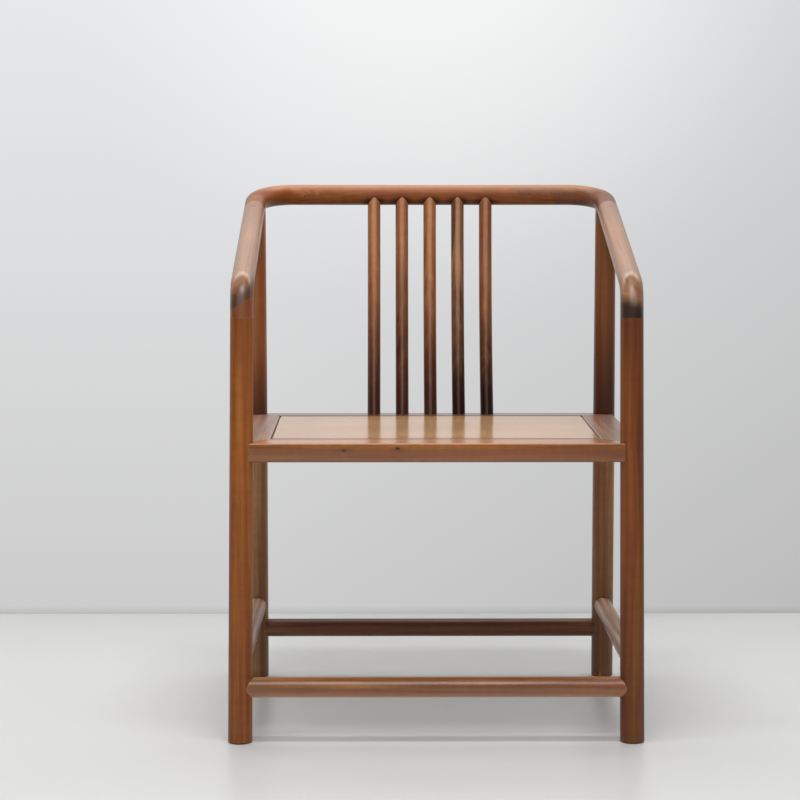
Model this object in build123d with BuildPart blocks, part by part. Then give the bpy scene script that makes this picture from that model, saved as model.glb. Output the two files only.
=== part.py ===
"""Horseshoe-back armchair in solid timber, as the separate pieces a joiner would cut.

Millimetres and degrees. The chair faces -Y, +X is to the viewer's right and +Z is up. The origin
lies on the floor under the middle of the chair. Left and right are the viewer's. Paired pieces
are modelled on the right and mirrored.
"""

import os
from math import asin, atan2, cos, degrees, radians, sin, sqrt, tan

from build123d import *

# ---- Driving dimensions ----

# Legs: the rear pair is upright, the front pair leans in towards the arms.
LEG_DIA = 35.0
FRONT_SPAN_FLOOR = 565.0  # between the axes of the front legs, at the floor
FRONT_SPAN_ARM = 553.0  # between the same axes, where the arms start
REAR_SPAN = 567.0  # between the axes of the rear legs
LEG_SETBACK = 451.0  # from the front legs' axes back to the rear legs' axes
FOOT_ROUND = 2.5

# Ring: crest, corners and arms are one round rail.
RING_DIA = 33.0
ARM_JOINT_HEIGHT = 611.0  # top of the front legs, where the arms sit on them
ARM_RISE = 44.5  # from the front leg's top up to where the arm's axis would meet the leg's axis
ARM_BEND_RADIUS = 26.0
CREST_HEIGHT = 789.5
CORNER_SETBACK = 54.0  # from the rear legs' axes back to the ring's sharp corner
CORNER_RADIUS = 71.0
CREST_END_ANGLE = 10.0  # how far the crest has turned forward where its corners begin

# Scarf joints of the ring: half laps with a nib at each end and a square pin through the middle.
CREST_LAP_REACH = 178.0  # from the middle of the chair to the middle of the crest's lap
ARM_LAP_AHEAD = 76.0  # from the rear leg's axis forward to the middle of the arm's lap
LAP_LENGTH = 64.0
NIB_LENGTH = 6.0
NIB_WIDTH = 14.0
NIB_THICKNESS = 5.0
PIN_HEAD = 8.0
PIN_TAIL = 6.5

# Seat frame
SEAT_HEIGHT = 433.3
FRAME_THICKNESS = 27.0
FRAME_OVERHANG = 13.0  # from the legs' axes out to the faces of the frame
FRONT_RAIL_WIDTH = 64.0
RAIL_WIDTH = 52.5
RAIL_EDGE_ROUND = 2.5
RAIL_TENON_THICKNESS = 8.0
RAIL_TENON_WIDTH = 18.0
RAIL_TENON_PAST_AXIS = 5.0
RAIL_TENON_MARGIN = 4.0  # from the frame's top or bottom face to the tenon

# Seat panel: two boards, tongued into the frame all round and into each other.
PANEL_THICKNESS = 15.0
PANEL_REVEAL = 0.6  # open joint between the panel's face and the frame
PANEL_ARRIS = 2.8  # rounding of the two edges that face each other across that joint
PANEL_TONGUE_THICKNESS = 5.0
PANEL_TONGUE_DEPTH = 6.0  # from the seat's top down to the tongue
PANEL_TONGUE_REACH = 7.0
PANEL_EXPANSION = 1.0  # room at the bottom of the frame's groove
BOARD_TONGUE_THICKNESS = 4.0
BOARD_TONGUE_REACH = 5.0

# Battens, dovetailed across the underside of the panel
BATTEN_SPACING = 220.0
BATTEN_WIDTH = 30.0
BATTEN_DROP = 10.0  # below the panel
DOVETAIL_DEPTH = 4.0
DOVETAIL_FLARE = 2.0
BATTEN_TENON_LENGTH = 12.0
BATTEN_TENON_WIDTH = 20.0
BATTEN_TENON_THICKNESS = 7.0

# Back spindles
SPINDLE_COUNT = 5
SPINDLE_SPACING = 46.0
SPINDLE_DIA = 21.0
SPINDLE_FOOT_INSET = 20.0  # from the frame's rear face forward to the spindles' feet
SPINDLE_HEAD_AHEAD = 5.6  # from the crest's axis forward to the spindles' heads
SPINDLE_HEAD_DROP = 4.0  # from the crest's axis down to the end of the full section
SPINDLE_BOW = 22.0  # how far a spindle bows back from a straight line
SPINDLE_TENON_DIA = 12.0
SPINDLE_FOOT_TENON = 16.0
SPINDLE_HEAD_TENON = 9.0

# Stretchers
CROSS_STRETCHER_HEIGHT = 80.0
SIDE_STRETCHER_HEIGHT = 118.0
FRONT_STRETCHER_DIA = 29.5
REAR_STRETCHER_DIA = 29.0
SIDE_STRETCHER_DIA = 28.5
STRETCHER_TENON_DIA = 16.0
STRETCHER_TENON_PAST_AXIS = 5.0

# Leg tenons
ARM_TENON_DIA = 18.0
ARM_TENON_LENGTH = 22.0
RING_TENON_DIA = 16.0
RING_TENON_PAST_AXIS = 7.0
REAR_SHOULDER_DROP = 4.0  # from the ring's axis down to the tips of the rear leg's saddle

FIT = 0.1  # glue line round a tenon or in a scribed shoulder

UP = Vector(0, 0, 1)

# ---- The ring's axis on the right-hand side, measured back from the front legs' axes ----

rear_x = REAR_SPAN / 2
foot_x = FRONT_SPAN_FLOOR / 2
arm_x = FRONT_SPAN_ARM / 2


def front_axis_x(height):
    """Distance of a front leg's axis from the middle of the chair, at a height."""
    return foot_x + (arm_x - foot_x) * height / ARM_JOINT_HEIGHT


arm_front_height = ARM_JOINT_HEIGHT + ARM_RISE
arm_front_x = front_axis_x(arm_front_height)
corner_y = LEG_SETBACK + CORNER_SETBACK
corner_x = arm_front_x + (rear_x - arm_front_x) * corner_y / LEG_SETBACK
corner = Vector(corner_x, corner_y, CREST_HEIGHT)
arm_start = Vector(arm_front_x, 0, arm_front_height)
arm_direction = (arm_start - corner).normalized()
crest_angle = radians(CREST_END_ANGLE)
crest_direction = Vector(cos(crest_angle), -sin(crest_angle), 0)
corner_tangent = CORNER_RADIUS * tan(radians(crest_direction.get_angle(arm_direction)) / 2)
crest_end = corner - crest_direction * corner_tangent
crest_radius = crest_end.X / sin(crest_angle)
crest_back_y = crest_end.Y + crest_radius * (1 - cos(crest_angle))

# The chair's outline in depth runs from the front feet to the back of the crest.
front_y = -(crest_back_y + RING_DIA / 2 - LEG_DIA / 2) / 2
rear_y = front_y + LEG_SETBACK
to_chair = Vector(0, front_y, 0)
corner += to_chair
arm_start += to_chair
crest_end += to_chair
arm_end = corner + arm_direction * corner_tangent
crest_center = Vector(0, crest_back_y + front_y - crest_radius, CREST_HEIGHT)
front_foot = Vector(foot_x, front_y, 0)
front_head = Vector(arm_x, front_y, ARM_JOINT_HEIGHT)
front_axis = (front_head - front_foot).normalized()
rear_foot = Vector(rear_x, rear_y, 0)
ring_over_leg = arm_start - arm_direction * (LEG_SETBACK / -arm_direction.Y)


def on_crest(x):
    """Point on the crest's axis at a distance from the middle of the chair."""
    return crest_center + Vector(x, sqrt(crest_radius**2 - x**2), 0)


def leg_axis_point(row, side, height):
    """Point on a leg's axis. row is "front" or "rear", side is -1 or 1."""
    if row == "front":
        return Vector(side * front_axis_x(height), front_y, height)
    return Vector(side * rear_x, rear_y, height)


# ---- Shared shapes ----


def rod(start, end, diameter):
    """Plain round bar between two points."""
    with BuildPart(Plane(origin=start, z_dir=end - start)) as bar:
        Cylinder(diameter / 2, (end - start).length, align=(Align.CENTER, Align.CENTER, Align.MIN))
    return bar.part


def tube_along(edges, diameter, seam=None):
    """Round bar along joined edges. Its seam runs along the side that seam points to."""
    with BuildPart() as bar:
        with BuildLine() as path:
            add(edges)
        with BuildSketch(Plane(origin=path.line @ 0, x_dir=seam, z_dir=path.line % 0)):
            Circle(diameter / 2)
        sweep(path=path.line)
    return bar.part


def turned(foot, axis, outline):
    """Piece turned about an axis in an XZ plane. outline lists (radius, distance) from the foot."""
    side = Vector(axis.Z, 0, -axis.X)
    with BuildPart() as piece:
        with BuildSketch(Plane(origin=foot, x_dir=side, z_dir=(0, -1, 0))):
            with BuildLine():
                Polyline(*outline, close=True)
            make_face()
        revolve(axis=Axis(foot, axis))
    return piece.part


def prism(points, bottom, top):
    """Upright prism over a plan outline."""
    with BuildPart() as block:
        with BuildSketch(Plane.XY.offset(bottom)):
            with BuildLine():
                Polyline(*points, close=True)
            make_face()
        extrude(amount=top - bottom)
    return block.part


def box_between(low, high):
    """Box between two opposite corners."""
    with BuildPart(Plane(origin=low)) as block:
        Box(high[0] - low[0], high[1] - low[1], high[2] - low[2], align=Align.MIN)
    return block.part


def finish(piece, name):
    """Label one finished piece and write it."""
    piece.part.label = name
    export_step(piece.part, f"parts/{name}.step")


def finish_pair(right, name):
    """Write a right-hand piece and its mirror image."""
    finish(right, f"{name}_right")
    with BuildPart() as left:
        mirror(right.part, about=Plane.YZ)
    finish(left, f"{name}_left")


os.makedirs("parts", exist_ok=True)

# ---- Bodies of the legs, which the rails and stretchers are scribed to ----


def front_leg_body(clearance=0.0):
    """Tapered round post, running on below the floor where it is cut level."""
    length = (front_head - front_foot).length
    flare = (LEG_DIA - RING_DIA) / 2 / length * LEG_DIA
    outline = (
        (0, -LEG_DIA),
        (LEG_DIA / 2 + flare + clearance, -LEG_DIA),
        (RING_DIA / 2 + clearance, length),
        (0, length),
    )
    return turned(front_foot, front_axis, outline)


def rear_leg_body(clearance=0.0):
    """Round post, straight up to the seat and tapered from there to the ring."""
    head = ring_over_leg.Z - REAR_SHOULDER_DROP
    outline = (
        (0, 0),
        (LEG_DIA / 2 + clearance, 0),
        (LEG_DIA / 2 + clearance, SEAT_HEIGHT),
        (RING_DIA / 2 + clearance, head),
        (0, head),
    )
    return turned(rear_foot, UP, outline)


leg_clearance = {
    ("front", 1): front_leg_body(FIT),
    ("rear", 1): rear_leg_body(FIT),
}
for row in ("front", "rear"):
    leg_clearance[row, -1] = leg_clearance[row, 1].mirror(Plane.YZ)

# ---- Tenons that two pieces share: each is a solid with a fit round it ----


def past(start, end, distance):
    """Point beyond end, seen from start."""
    return end + (end - start).normalized() * distance


def stretcher_tenons(start, end, fit=0.0):
    """Round tenons at both ends of a stretcher, as one bar through it."""
    reach = STRETCHER_TENON_PAST_AXIS + fit
    return rod(past(end, start, reach), past(start, end, reach), STRETCHER_TENON_DIA + 2 * fit)


def rail_tenons(start, end, height, fit=0.0):
    """Flat tenons at both ends of a seat rail, as one bar through it."""
    reach = RAIL_TENON_PAST_AXIS + fit
    first = past(end, start, reach)
    length = (past(start, end, reach) - first).length
    with BuildPart(Plane(origin=first + UP * height, x_dir=end - start, z_dir=UP)) as bar:
        Box(
            length,
            RAIL_TENON_WIDTH + 2 * fit,
            RAIL_TENON_THICKNESS + 2 * fit,
            align=(Align.MIN, Align.CENTER, Align.CENTER),
        )
    return bar.part


frame_bottom = SEAT_HEIGHT - FRAME_THICKNESS
tenon_rise = RAIL_TENON_MARGIN + RAIL_TENON_THICKNESS / 2
cross_tenon_height = SEAT_HEIGHT - tenon_rise
side_tenon_height = frame_bottom + tenon_rise
seat_middle = SEAT_HEIGHT - FRAME_THICKNESS / 2
seat_front_x = front_axis_x(seat_middle)
plan = {
    ("front", 1): Vector(seat_front_x, front_y, 0),
    ("front", -1): Vector(-seat_front_x, front_y, 0),
    ("rear", 1): Vector(rear_x, rear_y, 0),
    ("rear", -1): Vector(-rear_x, rear_y, 0),
}
cross_ends = {row: (plan[row, -1], plan[row, 1]) for row in ("front", "rear")}
side_ends = (plan["front", 1], plan["rear", 1])


def stretcher_ends(row):
    """Where a stretcher's axis meets the axes of its two legs."""
    if row == "side":
        height = SIDE_STRETCHER_HEIGHT
        return leg_axis_point("front", 1, height), leg_axis_point("rear", 1, height)
    height = CROSS_STRETCHER_HEIGHT
    return leg_axis_point(row, -1, height), leg_axis_point(row, 1, height)


def leg_mortises(row):
    """What the right-hand leg of a row loses to the rails and stretchers."""
    with BuildPart() as cuts:
        add(stretcher_tenons(*stretcher_ends(row), fit=FIT))
        add(stretcher_tenons(*stretcher_ends("side"), fit=FIT))
        add(rail_tenons(*cross_ends[row], cross_tenon_height, fit=FIT))
        add(rail_tenons(*side_ends, side_tenon_height, fit=FIT))
    return cuts.part


# ---- Front legs: a round tenon at the head goes up into the arm ----

with BuildPart() as front_leg:
    add(front_leg_body())
    split(bisect_by=Plane.XY, keep=Keep.TOP)
    fillet(front_leg.edges().group_by(Axis.Z)[0], FOOT_ROUND)
    add(leg_mortises("front"), mode=Mode.SUBTRACT)
    add(rod(front_head, front_head + front_axis * ARM_TENON_LENGTH, ARM_TENON_DIA))
finish_pair(front_leg, "front_leg")

# ---- Ring: the paths of its three right-hand lengths ----

arm_lap_point = arm_start - arm_direction * ((LEG_SETBACK - ARM_LAP_AHEAD) / -arm_direction.Y)
arm_outward = Vector(-arm_direction.Y, arm_direction.X, 0)
crest_lap_angle = asin(CREST_LAP_REACH / crest_radius)
crest_lap_direction = Vector(cos(crest_lap_angle), -sin(crest_lap_angle), 0)
crest_lap = Plane(origin=on_crest(CREST_LAP_REACH), x_dir=crest_lap_direction, z_dir=UP)
arm_lap_up = arm_direction.cross(arm_outward)
arm_lap = Plane(origin=arm_lap_point, x_dir=arm_direction, z_dir=arm_lap_up)
lap_reach = LAP_LENGTH / 2 + NIB_LENGTH
lap_reach_angle = lap_reach / crest_radius


def crest_point(angle):
    """Point on the crest's axis, by its angle from the middle in radians."""
    return on_crest(crest_radius * sin(angle))


def seen_from_mate(joint):
    """The lap joint's plane turned end for end and upside down, as the mating piece sees it."""
    return Plane(origin=joint.origin, x_dir=-joint.x_dir, z_dir=-joint.z_dir)


def lap_waste(joint):
    """What a piece that comes from the joint's -X side loses, so that its lower half is left."""
    half = LAP_LENGTH / 2
    nib_slot = NIB_THICKNESS + FIT
    with BuildPart(joint) as waste:
        with Locations((-half, 0, 0)):
            Box(
                LAP_LENGTH + RING_DIA,
                2 * RING_DIA,
                RING_DIA,
                align=(Align.MIN, Align.CENTER, Align.MIN),
            )
        with Locations((half, 0, 0)):
            Box(RING_DIA, 2 * RING_DIA, RING_DIA, align=(Align.MIN, Align.CENTER, Align.MAX))
            Box(
                NIB_LENGTH,
                NIB_WIDTH,
                NIB_THICKNESS,
                align=(Align.MIN, Align.CENTER, Align.MAX),
                mode=Mode.SUBTRACT,
            )
        with Locations((-half, 0, 0)):
            Box(
                NIB_LENGTH + FIT,
                NIB_WIDTH + 2 * FIT,
                nib_slot,
                align=(Align.MAX, Align.CENTER, Align.MIN),
            )
    return waste.part


def pin_bar(joint, fit=0.0):
    """Tapered square bar through the middle of a lap, head upwards."""
    with BuildPart() as bar:
        for rise, size in ((RING_DIA, PIN_HEAD), (-RING_DIA, PIN_TAIL)):
            with BuildSketch(joint.offset(rise)):
                Rectangle(size + 2 * fit, size + 2 * fit)
        loft()
    return bar.part


with BuildLine() as crest_path:
    crest_reach = crest_lap_angle + lap_reach_angle
    ThreePointArc(crest_point(-crest_reach), crest_point(0), crest_point(crest_reach))

with BuildLine() as corner_path:
    corner_reach = crest_lap_angle - lap_reach_angle
    middle_angle = (corner_reach + crest_angle) / 2
    ThreePointArc(crest_point(corner_reach), crest_point(middle_angle), crest_end)
    TangentArc(crest_end, arm_end, tangent=crest_direction)
    Line(arm_end, arm_lap_point + arm_direction * lap_reach)

with BuildLine() as arm_path:
    lap_start = arm_lap_point - arm_direction * lap_reach
    FilletPolyline(lap_start, arm_start, front_head, radius=ARM_BEND_RADIUS)

# ---- Spindles: where each stands and how it bows ----

rail_back_y = rear_y + FRAME_OVERHANG
spindle_foot_y = rail_back_y - SPINDLE_FOOT_INSET
spindle_xs = [SPINDLE_SPACING * (i - (SPINDLE_COUNT - 1) / 2) for i in range(SPINDLE_COUNT)]


def spindle_head(x):
    """Where the full section of the spindle at x ends, inside the crest."""
    return on_crest(x) - Vector(0, SPINDLE_HEAD_AHEAD, SPINDLE_HEAD_DROP)


def spindle_foot(x):
    """Middle of the spindle's foot on the seat frame."""
    return Vector(x, spindle_foot_y, SEAT_HEIGHT)


def spindle_head_tenon(x, fit=0.0):
    """Upright round tenon from the spindle's head up into the crest."""
    base = spindle_head(x) - UP * SPINDLE_DIA / 2
    tip = spindle_head(x) + UP * (SPINDLE_HEAD_TENON + fit)
    return rod(base, tip, SPINDLE_TENON_DIA + 2 * fit)


def spindle_foot_tenon(x, fit=0.0):
    """Upright round tenon from the spindle's foot down into the rear rail."""
    tip = spindle_foot(x) - UP * (SPINDLE_FOOT_TENON + fit)
    return rod(tip, spindle_foot(x), SPINDLE_TENON_DIA + 2 * fit)


# ---- Crest ----

with BuildPart() as crest_rail:
    add(tube_along(crest_path.edges(), RING_DIA))
    crest_waste = lap_waste(crest_lap) + pin_bar(crest_lap, FIT)
    add(crest_waste, mode=Mode.SUBTRACT)
    add(crest_waste.mirror(Plane.YZ), mode=Mode.SUBTRACT)
    for x in spindle_xs:
        add(spindle_head_tenon(x, FIT), mode=Mode.SUBTRACT)
finish(crest_rail, "crest_rail")

# ---- Ring corners: each stands on a rear leg's tenon ----


def corner_bar(diameter):
    """Round bar along a corner's path, with its seam on top, clear of the leg below it."""
    return tube_along(corner_path.edges(), diameter, seam=UP)


def ring_tenon(fit=0.0):
    """Round tenon from the rear leg up into the ring."""
    tip = ring_over_leg + UP * (RING_TENON_PAST_AXIS + fit)
    return rod(ring_over_leg - UP * RING_DIA, tip, RING_TENON_DIA + 2 * fit)


with BuildPart() as ring_corner:
    add(corner_bar(RING_DIA))
    add(lap_waste(seen_from_mate(crest_lap)), mode=Mode.SUBTRACT)
    add(pin_bar(crest_lap, FIT), mode=Mode.SUBTRACT)
    add(lap_waste(arm_lap), mode=Mode.SUBTRACT)
    add(pin_bar(arm_lap, FIT), mode=Mode.SUBTRACT)
    add(ring_tenon(FIT), mode=Mode.SUBTRACT)
finish_pair(ring_corner, "ring_corner")

# ---- Arms: the front end turns down and is bored for the front leg's tenon ----

with BuildPart() as arm:
    add(tube_along(arm_path.edges(), RING_DIA))
    add(lap_waste(seen_from_mate(arm_lap)), mode=Mode.SUBTRACT)
    add(pin_bar(arm_lap, FIT), mode=Mode.SUBTRACT)
    arm_bore_tip = front_head + front_axis * (ARM_TENON_LENGTH + FIT)
    add(rod(front_head, arm_bore_tip, ARM_TENON_DIA + 2 * FIT), mode=Mode.SUBTRACT)
finish_pair(arm, "arm")

# ---- Pins that lock the four laps, trimmed flush with the ring ----

joints = (crest_lap, arm_lap)
with BuildPart() as ring_wedge_pins:
    add([pin_bar(joint) for joint in joints])
    ring_here = [
        rod(joint.origin - joint.x_dir * RING_DIA, joint.origin + joint.x_dir * RING_DIA, RING_DIA)
        for joint in joints
    ]
    add(ring_here, mode=Mode.INTERSECT)
    mirror(about=Plane.YZ)
finish(ring_wedge_pins, "ring_wedge_pins")

# ---- Rear legs: scribed up to the ring, with a tenon into it ----

with BuildPart() as rear_leg:
    add(rear_leg_body())
    fillet(rear_leg.edges().group_by(Axis.Z)[0], FOOT_ROUND)
    add(corner_bar(RING_DIA + 2 * FIT), mode=Mode.SUBTRACT)
    add(leg_mortises("rear"), mode=Mode.SUBTRACT)
    add(ring_tenon())
finish_pair(rear_leg, "rear_leg")

# ---- Seat frame: outlines in plan ----

side_slope = atan2(rear_x - seat_front_x, LEG_SETBACK)


def beside_legs(y, outward):
    """X of a line that runs beside the right-hand legs' axes, at a distance outward of them."""
    return seat_front_x + (y - front_y) * tan(side_slope) + outward / cos(side_slope)


opening_side = FRAME_OVERHANG - RAIL_WIDTH
frame_front_y = front_y - FRAME_OVERHANG
opening_front_y = frame_front_y + FRONT_RAIL_WIDTH
opening_rear_y = rail_back_y - RAIL_WIDTH


def opening_outline(grow=0.0):
    """Plan outline of the frame's opening, grown or shrunk on every side."""
    front = opening_front_y - grow
    rear = opening_rear_y + grow
    front_x = beside_legs(front, opening_side + grow)
    back_x = beside_legs(rear, opening_side + grow)
    return (-front_x, front), (front_x, front), (back_x, rear), (-back_x, rear)


inner_front = opening_outline()[1]
inner_rear = opening_outline()[2]
groove_top = SEAT_HEIGHT - PANEL_TONGUE_DEPTH + FIT
groove_bottom = groove_top - PANEL_TONGUE_THICKNESS - 2 * FIT
panel_groove = prism(
    opening_outline(PANEL_TONGUE_REACH + PANEL_EXPANSION), groove_bottom, groove_top
)
batten_xs = (-BATTEN_SPACING / 2, BATTEN_SPACING / 2)
panel_bottom = SEAT_HEIGHT - PANEL_THICKNESS
batten_bottom = panel_bottom - BATTEN_DROP


def batten_tenons(x, fit=0.0):
    """Flat tenons at both ends of a batten, as one bar through it."""
    reach = BATTEN_TENON_LENGTH + fit
    half = BATTEN_TENON_WIDTH / 2 + fit
    middle = (panel_bottom + batten_bottom) / 2
    rise = BATTEN_TENON_THICKNESS / 2 + fit
    low = (x - half, opening_front_y - reach, middle - rise)
    high = (x + half, opening_rear_y + reach, middle + rise)
    return box_between(low, high)


def mirrored_across(points):
    """A plan outline of right-hand points, closed by their mirror images."""
    return (*points, *((-x, y) for x, y in reversed(points)))


# ---- Front and rear rails of the seat, mitred to the side rails behind the legs ----

front_outline = mirrored_across(((seat_front_x, frame_front_y), (seat_front_x, front_y), inner_front))
rear_outline = mirrored_across(((rear_x, rail_back_y), (rear_x, rear_y), inner_rear))

for row, outline, outer, inner in (("front", front_outline, 0, -1), ("rear", rear_outline, -1, 0)):
    with BuildPart() as cross_rail:
        add(prism(outline, frame_bottom, SEAT_HEIGHT))
        long_edges = cross_rail.edges().filter_by(Axis.X).group_by(Axis.Y)
        fillet(long_edges[outer], RAIL_EDGE_ROUND)
        fillet(long_edges[inner].sort_by(Axis.Z)[-1], PANEL_ARRIS)
        add(rail_tenons(*cross_ends[row], cross_tenon_height))
        for side in (-1, 1):
            scribe = leg_clearance[row, side] - rail_tenons(*cross_ends[row], cross_tenon_height)
            add(scribe, mode=Mode.SUBTRACT)
        add(panel_groove, mode=Mode.SUBTRACT)
        for x in batten_xs:
            add(batten_tenons(x, FIT), mode=Mode.SUBTRACT)
        if row == "rear":
            for x in spindle_xs:
                add(spindle_foot_tenon(x, FIT), mode=Mode.SUBTRACT)
    finish(cross_rail, f"seat_rail_{row}")

# ---- Side rails of the seat ----

side_outline = (
    (seat_front_x, front_y),
    (beside_legs(front_y, FRAME_OVERHANG), front_y),
    (beside_legs(rear_y, FRAME_OVERHANG), rear_y),
    (rear_x, rear_y),
    inner_rear,
    inner_front,
)

with BuildPart() as side_rail:
    add(prism(side_outline, frame_bottom, SEAT_HEIGHT))
    level_edges = side_rail.edges().filter_by(Axis.Z, reverse=True).sort_by(Axis.X)
    fillet(level_edges[-2:], RAIL_EDGE_ROUND)
    fillet(level_edges[:2].sort_by(Axis.Z)[-1], PANEL_ARRIS)
    side_tenon_bar = rail_tenons(*side_ends, side_tenon_height)
    add(side_tenon_bar)
    for row in ("front", "rear"):
        add(leg_clearance[row, 1] - side_tenon_bar, mode=Mode.SUBTRACT)
    add(panel_groove, mode=Mode.SUBTRACT)
finish_pair(side_rail, "seat_rail")

# ---- Seat panel: two boards, cut from one blank ----

blank_width = FRONT_SPAN_FLOOR + REAR_SPAN
seam_y = (opening_front_y + opening_rear_y) / 2
seam_height = (SEAT_HEIGHT + panel_bottom) / 2
seam_rise = BOARD_TONGUE_THICKNESS / 2
seam_far = seam_y + LEG_SETBACK
seam_near = seam_y - LEG_SETBACK


def batten_section(x, front, rear, fit=0.0):
    """Dovetailed upper part of a batten, running front to back."""
    base = BATTEN_WIDTH / 2 - DOVETAIL_FLARE + fit
    crown = BATTEN_WIDTH / 2 + fit
    top = panel_bottom + DOVETAIL_DEPTH + fit
    with BuildPart() as key:
        with BuildSketch(Plane(origin=(x, front, 0), x_dir=(1, 0, 0), z_dir=(0, -1, 0))):
            with BuildLine():
                Polyline(
                    (-base, panel_bottom),
                    (base, panel_bottom),
                    (crown, top),
                    (-crown, top),
                    close=True,
                )
            make_face()
        extrude(amount=front - rear)
    return key.part


with BuildPart() as panel_blank:
    add(prism(opening_outline(-PANEL_REVEAL), panel_bottom, SEAT_HEIGHT))
    fillet(panel_blank.edges().group_by(Axis.Z)[-1], PANEL_ARRIS)
    tongue_top = SEAT_HEIGHT - PANEL_TONGUE_DEPTH
    tongue_outline = opening_outline(PANEL_TONGUE_REACH)
    add(prism(tongue_outline, tongue_top - PANEL_TONGUE_THICKNESS, tongue_top))
    for x in batten_xs:
        add(batten_section(x, seam_near, seam_far, FIT), mode=Mode.SUBTRACT)

with BuildPart() as seat_board_front:
    add(panel_blank.part)
    for low, high in (
        (frame_bottom, seam_height - seam_rise),
        (seam_height + seam_rise, SEAT_HEIGHT),
    ):
        waste = box_between((-blank_width, seam_y, low), (blank_width, seam_far, high))
        add(waste, mode=Mode.SUBTRACT)
    tongue_end = (-blank_width, seam_y + BOARD_TONGUE_REACH, frame_bottom)
    add(box_between(tongue_end, (blank_width, seam_far, SEAT_HEIGHT)), mode=Mode.SUBTRACT)
finish(seat_board_front, "seat_board_front")

with BuildPart() as seat_board_rear:
    add(panel_blank.part)
    front_waste = ((-blank_width, seam_near, frame_bottom), (blank_width, seam_y, SEAT_HEIGHT))
    add(box_between(*front_waste), mode=Mode.SUBTRACT)
    groove_low = (-blank_width, seam_near, seam_height - seam_rise - FIT)
    groove_high = (blank_width, seam_y + BOARD_TONGUE_REACH + FIT, seam_height + seam_rise + FIT)
    add(box_between(groove_low, groove_high), mode=Mode.SUBTRACT)
finish(seat_board_rear, "seat_board_rear")

# ---- Battens under the panel ----

with BuildPart() as batten:
    batten_x = BATTEN_SPACING / 2
    half_width = BATTEN_WIDTH / 2 - DOVETAIL_FLARE
    add(
        box_between(
            (batten_x - half_width, opening_front_y, batten_bottom),
            (batten_x + half_width, opening_rear_y, panel_bottom),
        )
    )
    add(batten_section(batten_x, opening_front_y, opening_rear_y))
    add(batten_tenons(batten_x))
finish_pair(batten, "seat_batten")

# ---- Spindles, numbered from the left ----

for number, x in enumerate(spindle_xs, start=1):
    foot = spindle_foot(x)
    head = spindle_head(x)
    chord = head - foot
    bow_radius = (chord.length**2 / 4 + SPINDLE_BOW**2) / (2 * SPINDLE_BOW)
    bow_side = Vector(1, 0, 0).cross(chord).normalized()
    bow_center = (foot + head) / 2 + bow_side * (bow_radius - SPINDLE_BOW)
    half_angle = degrees(asin(chord.length / 2 / bow_radius))
    foot_angle = degrees(atan2(foot.Z - bow_center.Z, foot.Y - bow_center.Y))
    run_on = degrees(SPINDLE_DIA / bow_radius)
    with BuildPart() as spindle:
        with BuildLine(Plane.YZ.offset(x)) as bow:
            CenterArc(
                (bow_center.Y, bow_center.Z), bow_radius, foot_angle - run_on, 2 * half_angle + run_on
            )
        add(tube_along(bow.edges(), SPINDLE_DIA))
        split(bisect_by=Plane.XY.offset(SEAT_HEIGHT), keep=Keep.TOP)
        add(tube_along(crest_path.edges(), RING_DIA + 2 * FIT), mode=Mode.SUBTRACT)
        add(spindle_head_tenon(x))
        add(spindle_foot_tenon(x))
    finish(spindle, f"spindle_{number}")

# ---- Stretchers ----

for row, diameter in (("front", FRONT_STRETCHER_DIA), ("rear", REAR_STRETCHER_DIA)):
    with BuildPart() as stretcher:
        add(rod(*stretcher_ends(row), diameter))
        for side in (-1, 1):
            add(leg_clearance[row, side], mode=Mode.SUBTRACT)
        add(stretcher_tenons(*stretcher_ends(row)))
    finish(stretcher, f"stretcher_{row}")

with BuildPart() as side_stretcher:
    add(rod(*stretcher_ends("side"), SIDE_STRETCHER_DIA))
    for row in ("front", "rear"):
        add(leg_clearance[row, 1], mode=Mode.SUBTRACT)
    add(stretcher_tenons(*stretcher_ends("side")))
finish_pair(side_stretcher, "stretcher")
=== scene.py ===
"""Horseshoe-back armchair: the finish of each piece, the studio, the light and the camera.

Metres, in the chair's own frame: the chair faces -Y, +X is to the viewer's right, +Z is up, and the
origin is on the floor under the middle of the chair. Sizes of patterns are given in millimetres.
"""

import math

import bmesh
import bpy
from mathutils import Euler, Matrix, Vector


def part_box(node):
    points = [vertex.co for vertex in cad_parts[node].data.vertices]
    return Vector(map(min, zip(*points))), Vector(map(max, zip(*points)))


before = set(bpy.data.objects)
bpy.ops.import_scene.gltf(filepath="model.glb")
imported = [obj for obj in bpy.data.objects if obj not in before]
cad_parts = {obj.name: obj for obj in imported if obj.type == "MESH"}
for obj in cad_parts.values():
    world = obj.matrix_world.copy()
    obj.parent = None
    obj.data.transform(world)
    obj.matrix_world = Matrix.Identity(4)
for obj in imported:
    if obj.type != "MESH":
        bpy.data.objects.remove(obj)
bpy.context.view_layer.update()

# ---- Front legs ----
# Round posts that run from the floor through the seat to the ends of the arms. Each is split from
# a straight-grained walnut billet, planed round by hand, scraped, oiled and waxed. The left one
# comes from a redder billet than the right one.

MM = 0.001
UPRIGHT = Vector((0, 0, 1))
ACROSS = Vector((1, 0, 0))
FRONT_TO_BACK = Vector((0, 1, 0))

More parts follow.
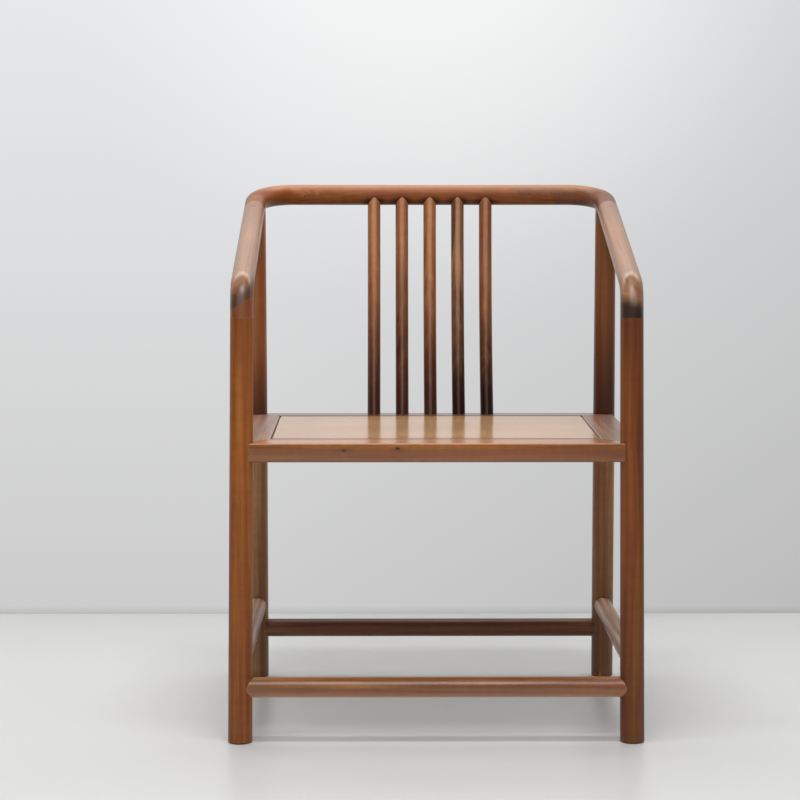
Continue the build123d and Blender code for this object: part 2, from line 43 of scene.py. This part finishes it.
# Size across and along the grain, in mm, and detail, of each pattern in the timber.
GRAIN = {
    "wander": (48, 280, 2.0),  # the rings bend as the tree grew
    "tone": (34, 330, 2.0),
    "blush": (13, 420, 1.0),  # redder bands
    "streak": (9, 300, 2.0),
    "heart": (15, 480, 3.0),
    "fibre": (3.0, 130, 2.0),
    "flicker": (30, 9, 1.0),  # silky bands that cross the grain
    "pores": (0.7, 12, 1.0),  # real pores are 0.2 mm wide: these are coarse enough to show
    "planing": (26, 95, 1.0),  # flats left by the hand plane
}
WALNUT = {
    "early": "#945E32",  # the paler wood that grows in spring
    "late": "#72401E",  # the darker wood that closes each year
    "ochre": "#A8763A",
    "ruddy": "#7C3A1C",
    "ruddy_share": 0.5,
    "heart": "#2E1810",  # nearly black streaks of heartwood
    "shade_and_wax": "#160B06",  # nearly black: painted shade in corners and joints, with some wax
    "worn": "#A87648",  # edges rubbed pale, with a painted highlight along their rounding
    "worn_share": 0.35,
    "ring_mm": 5.5,
    "ring_share": 0.7,
    "wander_mm": 16.0,
    "heart_from": 0.62,  # a lower level gives more heartwood
    "heart_share": 0.6,
    "ochre_share": 0.45,
    "rubbed": "#B88C6E",  # painted highlight on the front of a bar or of an arm's end
    "rubbed_share": 0.0,
    "roughness": 0.36,
    "relief_mm": 0.3,
    "ior": 1.48,
    "end_share": 0.65,
    "marks": (),  # place in metres, size in mm, and how far a knot bends the rings, in mm
    "soiled": (),
    "seam_y": None,  # Y of a joint that gets a dull band of painted shade, in metres
}
EDGE_MM = 2.5  # radius of the edges that are rubbed pale and carry a painted highlight
CORNER_MM = 4.0  # depth of the corners that get painted shade and wax
GROOVE_SHADE_MM = (5.0, 2.5)  # how far from a joint its painted shade begins, and where it is full
GLOSS_SPREAD = (-0.05, 0.07)  # the least and the most that the fibres add to the roughness
FIBRE_RELIEF = 0.06  # heights beside the flats that the plane left
PORE_RELIEF = -0.10


def colour(hex_code):
    """Linear RGBA of an sRGB hex colour."""
    channels = [int(hex_code[i : i + 2], 16) / 255 for i in (1, 3, 5)]
    linear = [c / 12.92 if c <= 0.04045 else ((c + 0.055) / 1.055) ** 2.4 for c in channels]
    return (*linear, 1.0)


def add_node(tree, kind, inputs, output=None, **settings):
    """Adds a shader node and returns one output of it, by default the first that is in use."""
    node = tree.nodes.new("ShaderNode" + kind)
    for name, value in settings.items():
        setattr(node, name, value)
    for key, value in inputs.items():
        if isinstance(value, bpy.types.NodeSocket):
            tree.links.new(value, node.inputs[key])
        else:
            node.inputs[key].default_value = value
    if output:
        return node.outputs[output]
    return next((socket for socket in node.outputs if socket.enabled), None)


def oiled_walnut(node, along, pith, slide, **own):
    """Finish of one node in oiled and waxed walnut. It gives deep brown bands and a satin sheen.

    along is the direction of the grain. pith is where the middle of the tree lies, in mm across
    the grain from the middle of the piece. slide moves the pattern along the grain, in mm, so that
    no two pieces are alike.
    """
    look = {**WALNUT, **own}
    finish = bpy.data.materials.new(f"oiled_walnut_{node}")
    finish.use_nodes = True
    tree = finish.node_tree
    tree.nodes.clear()

    # Grain coordinates: the third runs along the fibres, and the first two start at the pith.
    along = along.normalized()
    low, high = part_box(node)
    turn = along.rotation_difference(UPRIGHT)
    place = Vector((pith[0], pith[1], slide)) * MM - turn @ ((low + high) / 2)
    spot = add_node(tree, "TexCoord", {}, "Object")
    moved = {"Vector": spot, "Location": place, "Rotation": turn.to_euler()}
    grain = add_node(tree, "Mapping", moved)
    pattern = {}
    for name, (across_mm, along_mm, detail) in GRAIN.items():
        scale = (1 / (across_mm * MM), 1 / (across_mm * MM), 1 / (along_mm * MM))
        stretched = add_node(tree, "Mapping", {"Vector": grain, "Scale": scale})
        inputs = {"Vector": stretched, "Scale": 1.0, "Detail": detail}
        pattern[name] = add_node(tree, "TexNoise", inputs)

    # Year rings: bands of uneven width, by the distance from the wandering pith. A mark is a dark
    # spot: a knot bends the rings round it, and painted shade round a joint leaves them straight.
    flat = add_node(tree, "VectorMath", {0: grain, 1: (1, 1, 0)}, operation="MULTIPLY")
    radius = add_node(tree, "VectorMath", {0: flat}, operation="LENGTH")
    bend = {0: pattern["wander"], 1: look["wander_mm"] * MM, 2: radius}
    radius = add_node(tree, "Math", bend, operation="MULTIPLY_ADD")
    eyes = []
    for place_on_piece, size_mm, swirl_mm in look["marks"]:
        mark = turn @ Vector(place_on_piece) + place
        off = add_node(tree, "VectorMath", {0: grain, 1: mark}, operation="SUBTRACT")
        off = add_node(tree, "VectorMath", {0: off, 1: (1, 1, 0.6)}, operation="MULTIPLY")
        off = add_node(tree, "VectorMath", {0: off}, operation="LENGTH")
        around = {"Value": off, "From Max": size_mm * 4 * MM, "To Min": 1.0, "To Max": 0.0}
        swirl = add_node(tree, "MapRange", around, interpolation_type="SMOOTHSTEP")
        pushed = {0: swirl, 1: swirl_mm * MM, 2: radius}
        radius = add_node(tree, "Math", pushed, operation="MULTIPLY_ADD")
        core = {**around, "From Min": size_mm * 0.3 * MM, "From Max": size_mm * MM}
        eyes.append(add_node(tree, "MapRange", core, interpolation_type="SMOOTHSTEP"))
    bands = {"W": radius, "Scale": 1 / (look["ring_mm"] * MM), "Detail": 1.0, "Roughness": 0.5}
    pattern["rings"] = add_node(tree, "TexNoise", bands, noise_dimensions="1D")

    normal = add_node(tree, "NewGeometry", {}, "Normal")
    facing = add_node(tree, "VectorMath", {0: normal, 1: along}, operation="DOT_PRODUCT")
    pattern["end_grain"] = add_node(tree, "Math", {0: facing}, operation="ABSOLUTE")
    # Edges are rubbed pale, with a painted highlight along their rounding.
    rounded = add_node(tree, "Bevel", {"Radius": EDGE_MM * MM}, samples=4)
    pattern["edge"] = add_node(tree, "VectorMath", {0: normal, 1: rounded}, operation="DOT_PRODUCT")
    nook = {"Distance": CORNER_MM * MM}
    pattern["open"] = add_node(tree, "AmbientOcclusion", nook, "AO", samples=6)
    # Surfaces that face the front get a painted highlight where its share is set.
    ahead = {0: normal, 1: -FRONT_TO_BACK}
    pattern["ahead"] = add_node(tree, "VectorMath", ahead, operation="DOT_PRODUCT")

    heart_full = look["heart_from"] + 0.10
    # Each layer: the pattern, the levels where it begins and is full, its share and its colour.
    layers = [
        ("rings", 0.38, 0.64, look["ring_share"], look["late"]),
        ("streak", 0.50, 0.72, look["ochre_share"], look["ochre"]),
        ("blush", 0.48, 0.68, look["ruddy_share"], look["ruddy"]),
        ("tone", 0.62, 0.42, 0.40, look["late"]),
        ("heart", look["heart_from"], heart_full, look["heart_share"], look["heart"]),
        ("fibre", 0.45, 0.75, 0.22, look["heart"]),
        ("pores", 0.60, 0.70, 0.20, look["heart"]),
        ("end_grain", 0.75, 0.97, look["end_share"], look["heart"]),
        ("edge", 0.99, 0.85, look["worn_share"], look["worn"]),
        ("ahead", 0.88, 1.00, look["rubbed_share"], look["rubbed"]),
    ]
    body = colour(look["early"])
    for name, start, full, share, tint in layers:
        levels = {"Value": pattern[name], "From Min": start, "From Max": full, "To Max": share}
        mask = add_node(tree, "MapRange", levels, interpolation_type="SMOOTHSTEP")
        body = add_node(tree, "Mix", {0: mask, 6: body, 7: colour(tint)}, data_type="RGBA")
    for eye in eyes:
        body = add_node(tree, "Mix", {0: eye, 6: body, 7: colour(look["heart"])}, data_type="RGBA")
    shimmer = {"Value": pattern["flicker"], "From Min": 0.25, "From Max": 0.75}
    shimmer.update({"To Min": 0.93, "To Max": 1.07})
    silk = {0: 1.0, 6: body, 7: add_node(tree, "MapRange", shimmer)}
    body = add_node(tree, "Mix", silk, data_type="RGBA", blend_type="MULTIPLY")

    # Tints of the timber, and painted light and shade. Each rises between two heights and fades
    # between two more, in mm. The heights waver by so many mm, and they go up by tilt towards +X
    # from the middle of the piece.
    for tint, rise, fade, share, waver_mm, tilt in look["soiled"]:
        line = add_node(tree, "VectorMath", {0: spot, 1: (-tilt, 0, 1)}, operation="DOT_PRODUCT")
        line = add_node(tree, "Math", {0: line, 1: tilt * (low.x + high.x) / 2}, operation="ADD")
        waver = add_node(tree, "Math", {0: pattern["streak"], 1: 0.5}, operation="SUBTRACT")
        wavering = {0: waver, 1: waver_mm * MM, 2: line}
        line = add_node(tree, "Math", wavering, operation="MULTIPLY_ADD")
        above = {"Value": line, "From Min": rise[0] * MM, "From Max": rise[1] * MM, "To Max": share}
        above = add_node(tree, "MapRange", above, interpolation_type="SMOOTHSTEP")
        below = {"Value": line, "From Min": fade[1] * MM, "From Max": fade[0] * MM}
        below = add_node(tree, "MapRange", below, interpolation_type="SMOOTHSTEP")
        tint_mask = add_node(tree, "Math", {0: above, 1: below}, operation="MULTIPLY")
        body = add_node(tree, "Mix", {0: tint_mask, 6: body, 7: colour(tint)}, data_type="RGBA")
    # Corners that the occlusion mask finds are darkened: painted shade, with some wax.
    shade_levels = {"Value": pattern["open"], "From Min": 0.85, "From Max": 0.35, "To Max": 0.92}
    corner = add_node(tree, "MapRange", shade_levels, interpolation_type="SMOOTHSTEP")
    body = add_node(tree, "Mix", {0: corner, 6: body, 7: colour(look["shade_and_wax"])}, data_type="RGBA")

    # The scraped fibres break the sheen, and so does the dull band of painted shade in a joint.
    smoothest, dullest = (look["roughness"] + change for change in GLOSS_SPREAD)
    dull = {"Value": pattern["fibre"], "To Min": smoothest, "To Max": dullest}
    gloss = add_node(tree, "MapRange", dull)
    # Along a joint of the seat panel, a dull dark band is painted shade of the groove.
    if look["seam_y"] is not None:
        seam = add_node(tree, "SeparateXYZ", {0: spot}, "Y")
        seam = add_node(tree, "Math", {0: seam, 1: look["seam_y"]}, operation="SUBTRACT")
        seam = add_node(tree, "Math", {0: seam}, operation="ABSOLUTE")
        begins, full = (mm * MM for mm in GROOVE_SHADE_MM)
        groove_shade = {"Value": seam, "From Min": begins, "From Max": full, "To Max": 0.95}
        seam = add_node(tree, "MapRange", groove_shade)
        body = add_node(tree, "Mix", {0: seam, 6: body, 7: colour(look["shade_and_wax"])}, data_type="RGBA")
        gloss = add_node(tree, "Mix", {0: seam, 2: gloss, 3: 1.0})
    combed = {0: pattern["fibre"], 1: FIBRE_RELIEF, 2: pattern["planing"]}
    combed = add_node(tree, "Math", combed, operation="MULTIPLY_ADD")
    pitted = {0: pattern["pores"], 1: PORE_RELIEF, 2: combed}
    relief = add_node(tree, "Math", pitted, operation="MULTIPLY_ADD")
    bump = add_node(tree, "Bump", {"Height": relief, "Distance": look["relief_mm"] * MM})
    surface = {"Base Color": body, "Roughness": gloss, "Normal": bump, "IOR": look["ior"]}
    add_node(tree, "OutputMaterial", {"Surface": add_node(tree, "BsdfPrincipled", surface)})
    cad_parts[node].material_slots[0].material = finish


# A dark brown: painted shade on the posts, and the legs' darker feet.
DARK_BROWN = "#361A0C"
FROM_FLOOR = (-1, 0)  # a tint that has no lower end
TO_TOP = (900, 901)  # a tint that has no upper end
LEFT_BILLET = {"early": "#9C5820", "late": "#7A4218", "heart_from": 0.66, "ruddy_share": 0.7}
# The left leg is darker towards the floor, and darker above the seat with painted shade.
LEFT_BILLET["soiled"] = (
    (DARK_BROWN, FROM_FLOOR, (0, 330), 0.22, 60, 0),
    (DARK_BROWN, (440, 680), TO_TOP, 0.32, 60, 0),
)

RIGHT_BILLET = {"early": "#864A1E", "late": "#603012", "heart_from": 0.66, "ruddy": "#6A2E12"}
# The right leg is likewise darker towards the floor, and darker above the seat with painted shade.
RIGHT_BILLET["soiled"] = (
    (DARK_BROWN, FROM_FLOOR, (0, 380), 0.42, 60, 0),
    ("#3A1605", (300, 660), TO_TOP, 0.5, 60, 0),
)

for billet in (LEFT_BILLET, RIGHT_BILLET):
    billet.update(ring_share=0.65, ochre="#A87228", roughness=0.42, ior=1.4)

oiled_walnut("front_leg_left", UPRIGHT, (38, 60), 0, **LEFT_BILLET)
oiled_walnut("front_leg_right", UPRIGHT, (-45, 50), 900, **RIGHT_BILLET)

# ---- Rear legs ----
# Round posts behind the seat, tapered above it and scribed to the underside of the ring. They were
# cut nearer the outside of the tree, so they are yellower below the seat and redder above it.
# Painted shade darkens them towards the floor, and most just over the rear rail.

LEFT_POST = {"early": "#B88654", "late": "#926034"}
# Painted shade darkens the post towards the floor and just over the rear rail.
LEFT_POST["soiled"] = (
    (DARK_BROWN, FROM_FLOOR, (20, 420), 0.55, 80, 0),
    ("#6E300C", (350, 425), TO_TOP, 0.7, 30, 0),
    ("#2E0F05", (370, 435), (440, 560), 0.75, 30, 0),
)

RIGHT_POST = {"early": "#A8723E", "late": "#865630"}
# Painted shade darkens the post towards the floor and just over the rear rail.
RIGHT_POST["soiled"] = (
    (DARK_BROWN, FROM_FLOOR, (20, 400), 0.6, 80, 0),
    ("#54240C", (350, 425), TO_TOP, 0.7, 30, 0),
    ("#280C05", (370, 435), (440, 640), 0.8, 30, 0),
)

oiled_walnut("rear_leg_left", UPRIGHT, (30, -60), 1700, **LEFT_POST)
oiled_walnut("rear_leg_right", UPRIGHT, (-55, 40), 2600, **RIGHT_POST)

# ---- Stretchers ----
# Four turned rails that tie the legs near the floor, the side pair higher than the cross pair.
# The front one's lower half is paler: painted light bounced from the floor.

FLOOR_LIT_STRETCHER = {"early": "#8A5832", "late": "#683E22", "relief_mm": 0.1, "roughness": 0.3}
# Its paler lower half is painted light bounced from the floor.
FLOOR_LIT_STRETCHER.update(ior=1.68, soiled=(("#C8946A", FROM_FLOOR, (66, 76), 0.6, 4, 0),))

oiled_walnut("stretcher_front", ACROSS, (40, 55), 3500, **FLOOR_LIT_STRETCHER)
oiled_walnut("stretcher_rear", ACROSS, (60, -45), 4400, early="#6E4226", late="#4A2814")
# The side pair are pale and greyish all over: a painted sheen.
oiled_walnut("stretcher_left", FRONT_TO_BACK, (50, 45), 5300, roughness=0.42, early="#C8A88C")
oiled_walnut("stretcher_right", FRONT_TO_BACK, (-50, 45), 6200, roughness=0.42, early="#BC9A7C")

# ---- Seat frame ----
# Four flat rails round the panel, mitred behind the legs, with their long edges rounded. The front
# one has two small knots in its face. A dull dark band of painted shade lies along the joints
# before and behind the panel.

TOP_FACE = (431.5, 432.5)  # heights just under the flat top of the rails
FRONT_JOINT_Y = -0.2158
REAR_JOINT_Y = 0.1441

CROSS_RAIL = {"early": "#8C562C", "late": "#6C3A1C", "roughness": 0.22, "relief_mm": 0.1}
FRONT_RAIL = {**CROSS_RAIL, "seam_y": FRONT_JOINT_Y}
FRONT_RAIL["marks"] = (
    ((-0.1318, -0.280, 0.4228), 3.2, 6.0),
    ((-0.0558, -0.280, 0.4262), 2.8, 5.0),
)
# The tints give the top face a painted sheen, the foot of the face painted light bounced from the
# floor, and painted shade that grows towards the right end.
FRONT_RAIL["soiled"] = (
    ("#C49068", TOP_FACE, TO_TOP, 0.38, 0, 0),
    ("#80604E", FROM_FLOOR, (418, 429), 0.4, 8, 0),
    ("#3A1C10", (440, 540), TO_TOP, 0.4, 20, -0.3),
)
REAR_RAIL = {**CROSS_RAIL, "seam_y": REAR_JOINT_Y}
# Its top face is darker and greyer: painted shade.
REAR_RAIL["soiled"] = (("#5A4838", TOP_FACE, TO_TOP, 0.6, 0, 0),)
LEFT_SIDE = {"early": "#98786A", "late": "#786052", "roughness": 0.34, "relief_mm": 0.1}
RIGHT_SIDE = {"early": "#806658", "late": "#644E42", "roughness": 0.34, "relief_mm": 0.1}

oiled_walnut("seat_rail_front", ACROSS, (30, 90), 7100, **FRONT_RAIL)
oiled_walnut("seat_rail_rear", ACROSS, (40, 80), 8000, **REAR_RAIL)
oiled_walnut("seat_rail_left", FRONT_TO_BACK, (50, 70), 8900, **LEFT_SIDE)
oiled_walnut("seat_rail_right", FRONT_TO_BACK, (60, -70), 9800, **RIGHT_SIDE)

# ---- Seat boards and battens ----
# Two wide boards, tongued together and into the frame, on two dovetailed battens. Sitters have
# rubbed their top nearly to a polish.

RUBBED = {"early": "#B48E66", "late": "#9A7450", "ring_share": 0.5, "roughness": 0.16}
RUBBED.update(relief_mm=0.1, ior=1.44)

oiled_walnut("seat_board_front", ACROSS, (20, 140), 10700, seam_y=FRONT_JOINT_Y, **RUBBED)
oiled_walnut("seat_board_rear", ACROSS, (-30, 150), 11600, seam_y=REAR_JOINT_Y, **RUBBED)
oiled_walnut("seat_batten_left", FRONT_TO_BACK, (20, 70), 12500)
oiled_walnut("seat_batten_right", FRONT_TO_BACK, (-30, 70), 13400)

# ---- Spindles ----
# Five bowed round bars in the middle of the back, tenoned into the rear rail and the crest. The
# second and the fourth have wide streaks of heartwood. The front of each bar has a painted
# highlight, and painted shade darkens it towards its foot.

HIGHLIGHTED_BAR = {"early": "#9A623C", "late": "#724228", "ring_share": 0.4, "ring_mm": 7.0}
HIGHLIGHTED_BAR.update(roughness=0.34, ior=1.36, rubbed_share=0.45)
# Painted shade darkens each bar towards its foot.
HIGHLIGHTED_BAR["soiled"] = (("#321205", FROM_FLOOR, (440, 740), 0.98, 60, 0),)

STREAKED_BAR = {**HIGHLIGHTED_BAR, "heart_from": 0.53}
STREAKED_BAR["soiled"] += (("#3A2010", (500, 580), (620, 720), 0.4, 80, 0),)

DARK_BAR = {**HIGHLIGHTED_BAR, "early": "#7E5840", "late": "#583828", "heart_from": 0.56, "ior": 1.28}
# Painted shade darkens these bars towards the foot.
DARK_BAR["soiled"] = (("#1E0A04", FROM_FLOOR, (440, 700), 1.0, 60, 0),)

PLAIN_BAR = {**DARK_BAR, "early": "#7E5034", "late": "#683C26", "heart_from": 0.62}
PLAIN_BAR["rubbed_share"] = 0.35

oiled_walnut("spindle_1", UPRIGHT, (40, 39), 15200, **HIGHLIGHTED_BAR)
oiled_walnut("spindle_2", UPRIGHT, (-38, 48), 16100, **STREAKED_BAR)
oiled_walnut("spindle_3", UPRIGHT, (40, 57), 17000, **HIGHLIGHTED_BAR)
oiled_walnut("spindle_4", UPRIGHT, (-30, 66), 17900, **DARK_BAR)
oiled_walnut("spindle_5", UPRIGHT, (40, 75), 18800, **PLAIN_BAR)

# ---- Ring: crest, corners and arms ----
# One round rail of five lengths, sawn from thick planks and joined by half laps that a tapered
# square pin locks. The arms turn down at the front, where their end grain shows dark. The top of
# the ring has a painted highlight, and painted shade lies round the heads of the spindles.

ARM_SLOPE = Vector((0, 0.967, 0.256))
LEFT_TURN = Vector((1, 1, 0))
RIGHT_TURN = Vector((1, -1, 0))

POLISHED = {"early": "#804C28", "late": "#62341A", "ring_share": 0.5, "roughness": 0.32}
POLISHED.update(relief_mm=0.1, ior=1.27, worn_share=0.0, ochre_share=0.25)
# A paler band along the top of the ring: painted highlight.
PAINTED_TOP_HIGHLIGHT = ("#B08264", (793, 802), TO_TOP, 0.42, 3, 0)

# The crest darkens towards its right end: painted shade.
CREST = {**POLISHED, "soiled": (("#3A1C10", (810, 880), TO_TOP, 0.6, 20, -0.3), PAINTED_TOP_HIGHLIGHT)}
HEADS = (-0.092, -0.046, 0.0, 0.046, 0.092)
# A dark spot round the head of each spindle: painted shade.
CREST["marks"] = tuple(((x, 0.252, 0.7755), 16.0, 0.0) for x in HEADS)

LEFT_CORNER = {**POLISHED, "early": "#7C4620", "late": "#663616", "soiled": (PAINTED_TOP_HIGHLIGHT,)}
# The right corner is darker and greyer: painted shade.
RIGHT_CORNER = {**POLISHED, "early": "#663F2C", "late": "#553426", "soiled": (PAINTED_TOP_HIGHLIGHT,)}
RIGHT_CORNER.update(ring_share=0.3, heart_share=0.3, ochre_share=0.05, ruddy_share=0.2)

# The pale front colour of the arms is a painted highlight on the front of their ends.
HANDLED = {**POLISHED, "early": "#8A6446", "late": "#765036", "rubbed": "#D8B8A8", "ior": 1.7}
HANDLED.update(ochre_share=0.45, ruddy_share=0.3, end_share=0.2)
ARM_TOP = ("#6E4630", (725, 768), TO_TOP, 0.55, 20, 0)
LEFT_ARM = {**HANDLED, "rubbed_share": 0.35}
LEFT_ARM["soiled"] = (
    ("#301A16", (629, 630), (640, 664), 0.72, 8, 0.65),
    ("#74380E", FROM_FLOOR, (629, 630), 0.9, 8, 0.65),
    ARM_TOP,
)
RIGHT_ARM = {**HANDLED, "rubbed_share": 0.25}
RIGHT_ARM["soiled"] = (("#240F08", FROM_FLOOR, (624, 642), 0.95, 6, -0.3), ARM_TOP)

oiled_walnut("crest_rail", ACROSS, (40, 50), 20000, **CREST)
oiled_walnut("ring_corner_left", LEFT_TURN, (40, 50), 21000, **LEFT_CORNER)
oiled_walnut("ring_corner_right", RIGHT_TURN, (40, 50), 22000, **RIGHT_CORNER)
oiled_walnut("arm_left", ARM_SLOPE, (40, 50), 23000, **LEFT_ARM)
oiled_walnut("arm_right", ARM_SLOPE, (45, 50), 24000, **RIGHT_ARM)
oiled_walnut("ring_wedge_pins", UPRIGHT, (10, 20), 25000, end_share=0.3)

# ---- Studio: floor and wall ----
# A painted floor and a painted wall, pale grey and slightly shiny, that meet in a line behind the
# chair. To the camera and in reflections the wall glows with painted light: paler towards the top
# and round the chair's back, a little darker to the right, and with painted shade at its foot. It
# can be seen through from behind.

WALL_Y = 0.736
WALL_TOP = 3.2
HALF_WIDTH = 5.0
FLOOR_NEAR = -6.0
FLOOR_FAR = 5.0
PALEST_HEIGHT = 1.2
GLOW_PLACE = (0.05, WALL_Y, 1.3)
studio = {}
for name, hex_code, roughness in (("floor", "#C7C7C6", 0.35), ("wall", "#D8D9DA", 0.8)):
    paint = bpy.data.materials.new(f"{name}_paint")
    paint.use_nodes = True
    paint.node_tree.nodes.clear()
    inputs = {"Base Color": colour(hex_code), "Roughness": roughness}
    studio[name] = paint, add_node(paint.node_tree, "BsdfPrincipled", inputs)

floor_paint, floor_surface = studio["floor"]
add_node(floor_paint.node_tree, "OutputMaterial", {"Surface": floor_surface})

wall_paint, wall_surface = studio["wall"]
tree = wall_paint.node_tree
spot = add_node(tree, "TexCoord", {}, "Object")
height = add_node(tree, "SeparateXYZ", {0: spot}, "Z")
rise = add_node(tree, "MapRange", {"Value": height, "From Max": PALEST_HEIGHT})
tints = {0: rise, 6: colour("#CCCCCC"), 7: colour("#E8E9EB")}
shade = add_node(tree, "Mix", tints, data_type="RGBA")
sideways = add_node(tree, "SeparateXYZ", {0: spot}, "X")
falloff = {"Value": sideways, "From Min": -0.3, "From Max": 0.8, "To Min": 1.0, "To Max": 0.82}
dimmer = {0: 1.0, 6: shade, 7: add_node(tree, "MapRange", falloff)}
shade = add_node(tree, "Mix", dimmer, data_type="RGBA", blend_type="MULTIPLY")
from_glow = add_node(tree, "VectorMath", {0: spot, 1: GLOW_PLACE}, operation="DISTANCE")
glow_mask = {"Value": from_glow, "From Min": 0.8, "From Max": 0.1, "To Max": 0.6}
washed = add_node(tree, "MapRange", glow_mask, interpolation_type="SMOOTHSTEP")
shade = add_node(tree, "Mix", {0: washed, 6: shade, 7: colour("#FFFFFF")}, data_type="RGBA")
# Painted shade along the foot of the wall.
foot = {"Value": height, "From Min": 0.001, "From Max": 0.014, "To Min": 0.82}
foot_shade = {0: 1.0, 6: shade, 7: add_node(tree, "MapRange", foot)}
shade = add_node(tree, "Mix", foot_shade, data_type="RGBA", blend_type="MULTIPLY")
glow = add_node(tree, "Emission", {"Color": shade, "Strength": 1.0})
seen = add_node(tree, "LightPath", {}, "Is Camera Ray")
mirrored = add_node(tree, "LightPath", {}, "Is Glossy Ray")
direct = add_node(tree, "Math", {0: seen, 1: mirrored}, operation="MAXIMUM")
front = add_node(tree, "MixShader", {0: direct, 1: wall_surface, 2: glow})
behind = add_node(tree, "NewGeometry", {}, "Backfacing")
clear = add_node(tree, "BsdfTransparent", {})
both_sides = add_node(tree, "MixShader", {0: behind, 1: front, 2: clear})
add_node(tree, "OutputMaterial", {"Surface": both_sides})

# Each plane: its paint, and its first and last edge in Y and Z.
PLANES = {
    "studio_floor": (floor_paint, (FLOOR_NEAR, 0), (FLOOR_FAR, 0)),
    "studio_wall": (wall_paint, (WALL_Y, 0), (WALL_Y, WALL_TOP)),
}
for name, (paint, first, last) in PLANES.items():
    mesh = bmesh.new()
    left, right = -HALF_WIDTH, HALF_WIDTH
    corners = ((left, *first), (right, *first), (right, *last), (left, *last))
    mesh.faces.new([mesh.verts.new(corner) for corner in corners])
    data = bpy.data.meshes.new(name)
    mesh.to_mesh(data)
    mesh.free()
    data.materials.append(paint)
    plane = bpy.data.objects.new(name, data)
    bpy.context.scene.collection.objects.link(plane)

# ---- Light ----
# Four soft lamps: two over the chair, one high in front of it and one beside the camera. A fifth
# hangs behind the chair and washes the arms. The air is brighter in front than behind, and polish
# mirrors it dimly.

AIR_BEHIND = 0.14
AIR_IN_FRONT = 0.75
AIR_MIRRORED = 0.08

# Each lamp: its place, what it points at, its width and height, its watts, and whether polish
# mirrors it.
LAMPS = {
    "overhead": ((-0.1, -0.74, 2.35), (0.0, -0.10, 0.0), (1.6, 0.22), 26, False),
    "ceiling": ((-0.1, 0.12, 2.35), (-0.1, 0.12, 0.0), (1.6, 0.3), 10, False),
    "key": ((0.0, -1.75, 2.15), (0.0, -0.2, 0.6), (1.5, 0.9), 21, True),
    "front": ((-0.3, -4.3, 1.0), (0.0, 0.0, 0.5), (1.6, 2.0), 27, False),
    "wall_washer": ((0.0, 0.70, 1.62), (0.0, -0.2, 0.7), (3.0, 1.0), 28, True),
}
for name, (place, target, (width, height), power, mirrored) in LAMPS.items():
    lamp = bpy.data.lights.new(name, "AREA")
    lamp.shape = "RECTANGLE"
    lamp.size = width
    lamp.size_y = height
    lamp.energy = power
    holder = bpy.data.objects.new(name, lamp)
    holder.visible_camera = False
    holder.visible_glossy = mirrored
    holder.location = place
    holder.rotation_euler = (Vector(target) - Vector(place)).to_track_quat("-Z", "Y").to_euler()
    bpy.context.scene.collection.objects.link(holder)

world = bpy.data.worlds.new("studio_air")
world.use_nodes = True
tree = world.node_tree
tree.nodes.clear()
towards = add_node(tree, "TexCoord", {}, "Generated")
ahead = add_node(tree, "VectorMath", {0: towards, 1: -FRONT_TO_BACK}, operation="DOT_PRODUCT")
air = add_node(tree, "MapRange", {"Value": ahead, "To Min": AIR_BEHIND, "To Max": AIR_IN_FRONT})
mirrored = add_node(tree, "LightPath", {}, "Is Glossy Ray")
air = add_node(tree, "Mix", {0: mirrored, 2: air, 3: AIR_MIRRORED})
add_node(tree, "OutputWorld", {"Surface": add_node(tree, "Background", {"Strength": air})})
bpy.context.scene.world = world

# ---- Camera ----
# A long lens in front of the chair, a little left of its middle and just below the crest's height.

CAMERA_PLACE = (-0.0710, -3.3137, 0.7547)
CAMERA_PITCH = 4.887  # degrees down
CAMERA_YAW = 0.351  # degrees towards +X
FOCAL_LENGTH_MM = 96.8
SENSOR_MM = 36.0

lens = bpy.data.cameras.new("camera")
lens.lens = FOCAL_LENGTH_MM
lens.sensor_width = SENSOR_MM
camera = bpy.data.objects.new("camera", lens)
camera.location = CAMERA_PLACE
camera.rotation_euler = Euler((math.radians(90 - CAMERA_PITCH), 0, math.radians(-CAMERA_YAW)))
bpy.context.scene.collection.objects.link(camera)
bpy.context.scene.camera = camera
bpy.context.scene.view_settings.view_transform = "Standard"
